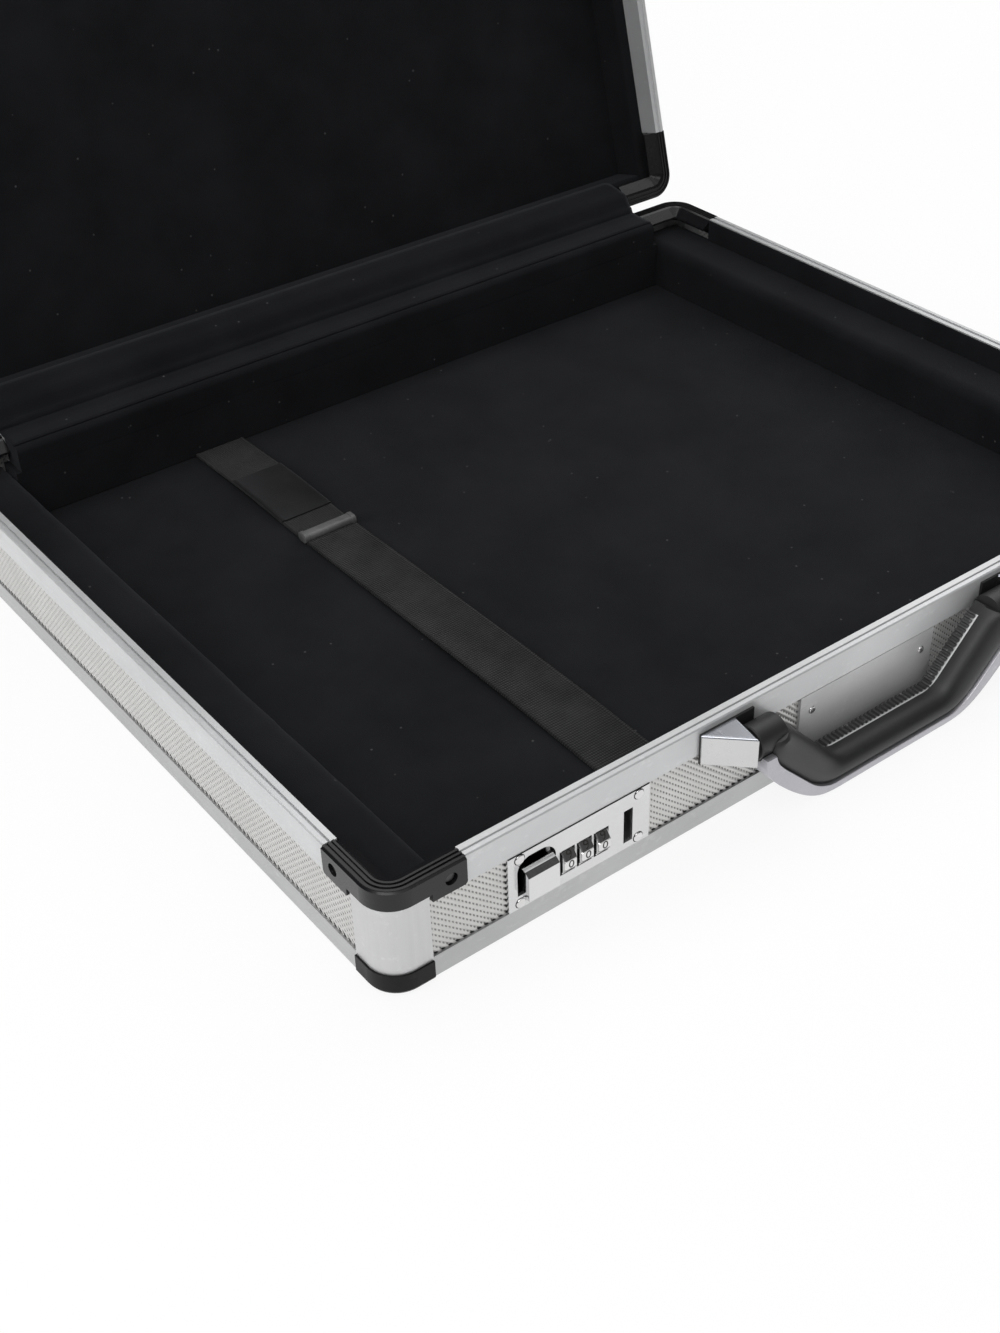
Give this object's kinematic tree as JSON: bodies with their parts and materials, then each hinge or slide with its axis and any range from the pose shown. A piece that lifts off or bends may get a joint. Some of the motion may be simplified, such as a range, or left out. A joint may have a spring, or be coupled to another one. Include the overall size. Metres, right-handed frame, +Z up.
{
  "type": "laptop hard case",
  "caption": "Shallow aluminium-framed hard case with a padded tray, hinged lid, number locks with hasps, folding handle and a luggage strap",
  "frame": {"origin": "middle of the tray's footprint, on the ground under the corner caps", "axes": "+Z up, +Y towards the hinges, +X to the right seen from the front with its handle"},
  "size_m": [0.4696, 0.5348, 0.4595],
  "materials": {
    "aluminium_profile": "anodised, satin",
    "ribbed_panel": "silver-faced, embossed with fine diagonal ribs",
    "black_corner": "moulded, glossy",
    "grey_corner": "moulded, satin",
    "lining_cloth": "velvety lining over foam",
    "strap_webbing": "ribbed webbing",
    "bright_plate": "polished, slightly brushed",
    "inner_steel": "plain zinc-plated",
    "satin_metal": "satin with bright edges",
    "handle_black": "moulded, satin"
  },
  "bodies": {
    "tray": {"tray_rim_profiles": "aluminium_profile", "tray_edge_profiles": "aluminium_profile", "tray_corner_posts": "aluminium_profile", "tray_rim_corners": "black_corner", "tray_outer_corners": "grey_corner", "tray_corner_rivets": "satin_metal", "tray_panel": "ribbed_panel", "tray_front_panel": "ribbed_panel", "tray_back_panel": "ribbed_panel", "tray_end_panels": "ribbed_panel", "floor_pad": "lining_cloth", "front_wall_pad": "lining_cloth", "back_wall_pad": "lining_cloth", "side_wall_pads": "lining_cloth", "hinge_cover": "lining_cloth", "strap_front_length": "strap_webbing", "strap_back_length": "strap_webbing", "strap_patch": "strap_webbing", "strap_bar_loop": "handle_black", "lock_plate_left": "bright_plate", "lock_case_left": "inner_steel", "handle_bracket_left": "satin_metal", "lock_plate_right": "bright_plate", "lock_case_right": "inner_steel", "handle_bracket_right": "satin_metal", "lock_axles": "inner_steel", "plate_screws": "satin_metal", "handle_base_plates": "handle_black", "handle_pins": "inner_steel", "name_plate": "satin_metal", "hinge_tray_leaves": "inner_steel", "hinge_pins": "inner_steel"},
    "lid": {"lid_rim_profiles": "aluminium_profile", "lid_edge_profiles": "aluminium_profile", "lid_corner_posts": "aluminium_profile", "lid_rim_corners": "black_corner", "lid_outer_corners": "grey_corner", "lid_corner_rivets": "satin_metal", "lid_panel": "ribbed_panel", "lid_side_panels": "ribbed_panel", "lid_lining_board": "lining_cloth", "lid_wall_lining": "lining_cloth", "hasp_brackets": "bright_plate", "hasp_pins": "inner_steel", "hinge_lid_leaves": "inner_steel"},
    "handle": {"handle_frame": "satin_metal", "handle_grip": "handle_black", "handle_rib_strips": "satin_metal"},
    "slider_left": {"thumb_slider_left": "bright_plate"},
    "hasp_body_left": {"hasp_left": "bright_plate"},
    "wheel_left_1": {"dial_left_1": "bright_plate"},
    "wheel_left_2": {"dial_left_2": "bright_plate"},
    "wheel_left_3": {"dial_left_3": "bright_plate"},
    "slider_right": {"thumb_slider_right": "bright_plate"},
    "hasp_body_right": {"hasp_right": "bright_plate"},
    "wheel_right_1": {"dial_right_1": "bright_plate"},
    "wheel_right_2": {"dial_right_2": "bright_plate"},
    "wheel_right_3": {"dial_right_3": "bright_plate"}
  },
  "joints": [
    {"name": "lid_hinge", "type": "hinge", "parent": "tray", "child": "lid", "pos_m": [0, 0.1907, 0.05015], "axis": [1, 0, 0], "range_deg": [0, 105], "deforming": ["hinge_cover"]},
    {"name": "handle_swing", "type": "hinge", "parent": "tray", "child": "handle", "pos_m": [0, -0.196, 0.039], "axis": [-1, 0, 0], "range_deg": [0, 110]},
    {"name": "slider_left_travel", "type": "slide", "parent": "tray", "child": "slider_left", "axis": [-1, 0, 0], "range_m": [0, 0.003], "stiffness_N_per_m": 150, "springref_m": -0.002},
    {"name": "hasp_left_swing", "type": "hinge", "parent": "lid", "child": "hasp_body_left", "pos_m": [-0.12572, 0.29616, 0.41726], "axis": [1, 0, 0], "range_deg": [0, 60], "stiffness_Nm_per_rad": 0.03, "springref_deg": -28.65},
    {"name": "wheel_left_1_turn", "type": "hinge", "parent": "tray", "child": "wheel_left_1", "pos_m": [-0.15457, -0.1836, 0.02142], "axis": [1, 0, 0], "continuous": true},
    {"name": "wheel_left_2_turn", "type": "hinge", "parent": "tray", "child": "wheel_left_2", "pos_m": [-0.14662, -0.1836, 0.02142], "axis": [1, 0, 0], "continuous": true},
    {"name": "wheel_left_3_turn", "type": "hinge", "parent": "tray", "child": "wheel_left_3", "pos_m": [-0.13867, -0.1836, 0.02142], "axis": [1, 0, 0], "continuous": true},
    {"name": "slider_right_travel", "type": "slide", "parent": "tray", "child": "slider_right", "axis": [1, 0, 0], "range_m": [0, 0.003], "stiffness_N_per_m": 150, "springref_m": -0.002},
    {"name": "hasp_right_swing", "type": "hinge", "parent": "lid", "child": "hasp_body_right", "pos_m": [0.12572, 0.29616, 0.41726], "axis": [1, 0, 0], "range_deg": [0, 60], "stiffness_Nm_per_rad": 0.03, "springref_deg": -28.65},
    {"name": "wheel_right_1_turn", "type": "hinge", "parent": "tray", "child": "wheel_right_1", "pos_m": [0.15457, -0.1836, 0.02142], "axis": [1, 0, 0], "continuous": true},
    {"name": "wheel_right_2_turn", "type": "hinge", "parent": "tray", "child": "wheel_right_2", "pos_m": [0.14662, -0.1836, 0.02142], "axis": [1, 0, 0], "continuous": true},
    {"name": "wheel_right_3_turn", "type": "hinge", "parent": "tray", "child": "wheel_right_3", "pos_m": [0.13867, -0.1836, 0.02142], "axis": [1, 0, 0], "continuous": true}
  ]
}
